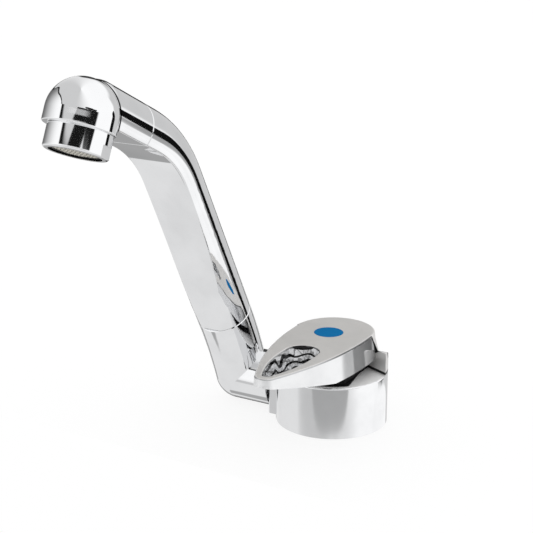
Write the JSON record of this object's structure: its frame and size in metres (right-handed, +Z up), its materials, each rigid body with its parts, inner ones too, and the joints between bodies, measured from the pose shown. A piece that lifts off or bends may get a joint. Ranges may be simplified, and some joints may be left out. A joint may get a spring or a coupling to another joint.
{
  "type": "folding caravan tap",
  "caption": "Cold water tap for a caravan or boat sink: a round base with a turning lever and an angled spout that folds down beside it.",
  "frame": {"origin": "centre of the worktop hole, on the worktop's upper face where the base sits", "axes": "+Z up along the base and shank, -Y towards the user, where the lever and spout point, -X towards the spout's side"},
  "size_m": [0.0863, 0.1517, 0.2361],
  "materials": {
    "polished_chrome": "polished chrome plate, satin on top of the lever",
    "blue_plastic": "gloss",
    "black_plastic": "fine grain",
    "white_plastic": "moulded",
    "brass": "machined",
    "steel": "drawn",
    "rubber": "matt",
    "ceramic": "lapped ceramic"
  },
  "bodies": {
    "base": {"base_housing": "polished_chrome", "base_gasket": "rubber", "pivot_bush": "white_plastic", "pivot_retaining_pin": "steel", "fold_stop_pin": "steel", "cartridge_body": "brass", "cartridge_seal": "rubber", "cartridge_screw_front": "steel", "cartridge_screw_rear": "steel", "cartridge_gland": "white_plastic", "stem_o_ring": "rubber", "fixed_disc": "ceramic", "bore_cover": "black_plastic", "switch_body": "black_plastic", "switch_holder": "black_plastic", "switch_terminal_1": "brass", "switch_terminal_2": "brass", "switch_terminal_3": "brass", "shank": "brass", "rubber_washer": "rubber", "steel_washer": "steel", "fixing_nut": "brass", "inlet_coupling": "brass", "inlet_collet": "white_plastic", "inlet_o_ring": "rubber"},
    "lever": {"lever_handle": "polished_chrome", "lever_dot": "blue_plastic", "lever_carrier": "black_plastic", "lever_grub_screw": "steel", "spindle": "brass", "moving_disc": "ceramic", "cam_disc": "black_plastic"},
    "plunger": {"switch_plunger": "black_plastic"},
    "spout": {"elbow": "polished_chrome", "pivot_journal": "brass", "pivot_o_ring": "rubber", "lower_sleeve": "brass", "spout_arm": "polished_chrome", "upper_sleeve": "brass", "spout_head": "polished_chrome", "aerator_collar": "polished_chrome", "aerator_mesh": "steel", "aerator_insert": "white_plastic", "aerator_washer": "rubber"}
  },
  "joints": [
    {"name": "lever_turn", "type": "hinge", "parent": "base", "child": "lever", "pos_m": [0, 0, 0.03], "axis": [0, 0, 1], "range_deg": [0, 90]},
    {"name": "spout_fold", "type": "hinge", "parent": "base", "child": "spout", "pos_m": [-0.027, -0.0005, 0.0129], "axis": [1, 0, 0], "range_deg": [0, 60]},
    {"name": "plunger_press", "type": "slide", "parent": "base", "child": "plunger", "axis": [0, 1, 0], "range_m": [0, 0.00114]}
  ],
  "couplings": [
    {"joint": "plunger_press", "follows": "lever_turn", "m_per_rad": 0.00072}
  ]
}
